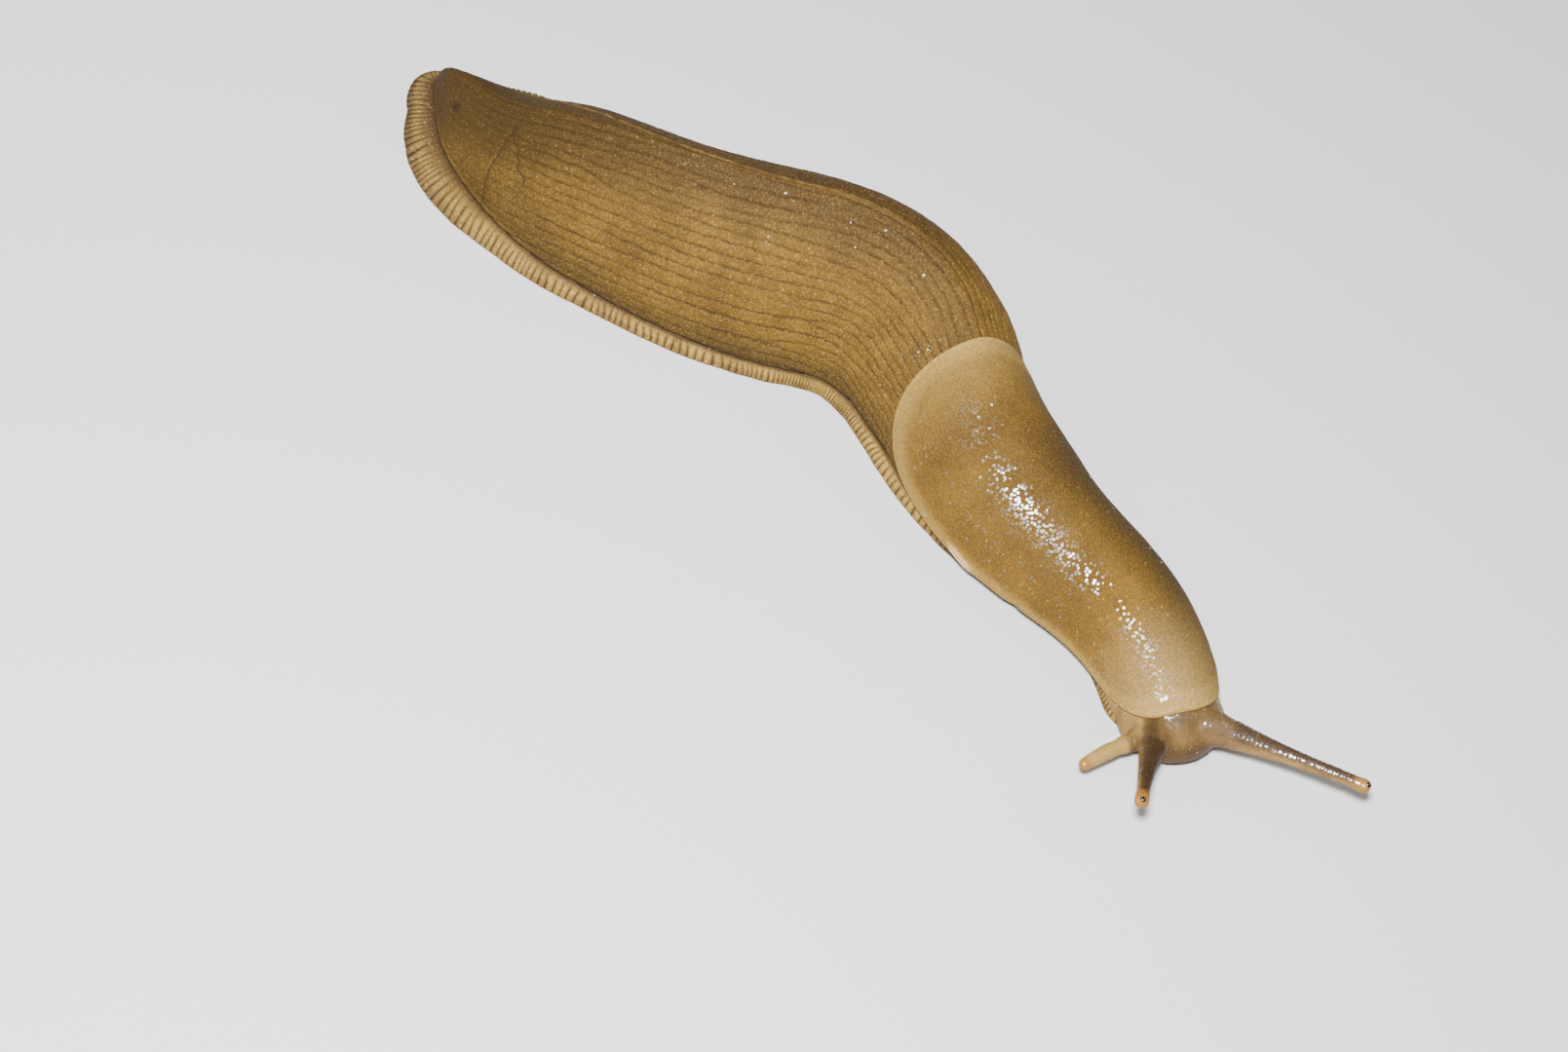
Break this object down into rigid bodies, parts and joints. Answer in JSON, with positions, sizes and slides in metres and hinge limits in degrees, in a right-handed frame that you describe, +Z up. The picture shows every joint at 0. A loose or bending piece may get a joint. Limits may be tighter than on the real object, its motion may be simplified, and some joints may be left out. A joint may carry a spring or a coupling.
{
  "type": "banana slug",
  "caption": "Still life-size banana slug with furrowed back, keeled tail, smooth mantle with breathing hole, ribbed foot fringe and long eyed feelers.",
  "frame": {"origin": "centre of the bounding box, on the floor that the sole lies on", "axes": "+X towards the head, +Y towards the slug's left side, +Z up from the floor"},
  "size_m": [0.1579, 0.0492, 0.0233],
  "materials": {
    "back": "moist olive-brown skin with lengthwise furrows",
    "mantle": "moist golden-brown skin, finely grained",
    "fringe": "moist pale tan skin with dark cross grooves",
    "head": "moist grey-beige skin, slightly see-through",
    "eye": "glossy black"
  },
  "bodies": {
    "root": {"foot_tail": "fringe", "foot_rear": "fringe", "foot_middle": "fringe", "foot_fore": "fringe", "foot_front": "fringe", "tail": "back", "back_rear": "back", "back_front": "back", "torso": "back", "neck": "back", "mantle": "mantle", "head": "head", "left_optic_lower": "head", "left_optic_upper": "head", "left_optic_tip": "head", "right_optic_stalk": "head", "right_optic_tip": "head", "left_feeler": "head", "right_feeler": "head", "left_eye": "eye", "right_eye": "eye"}
  },
  "joints": []
}
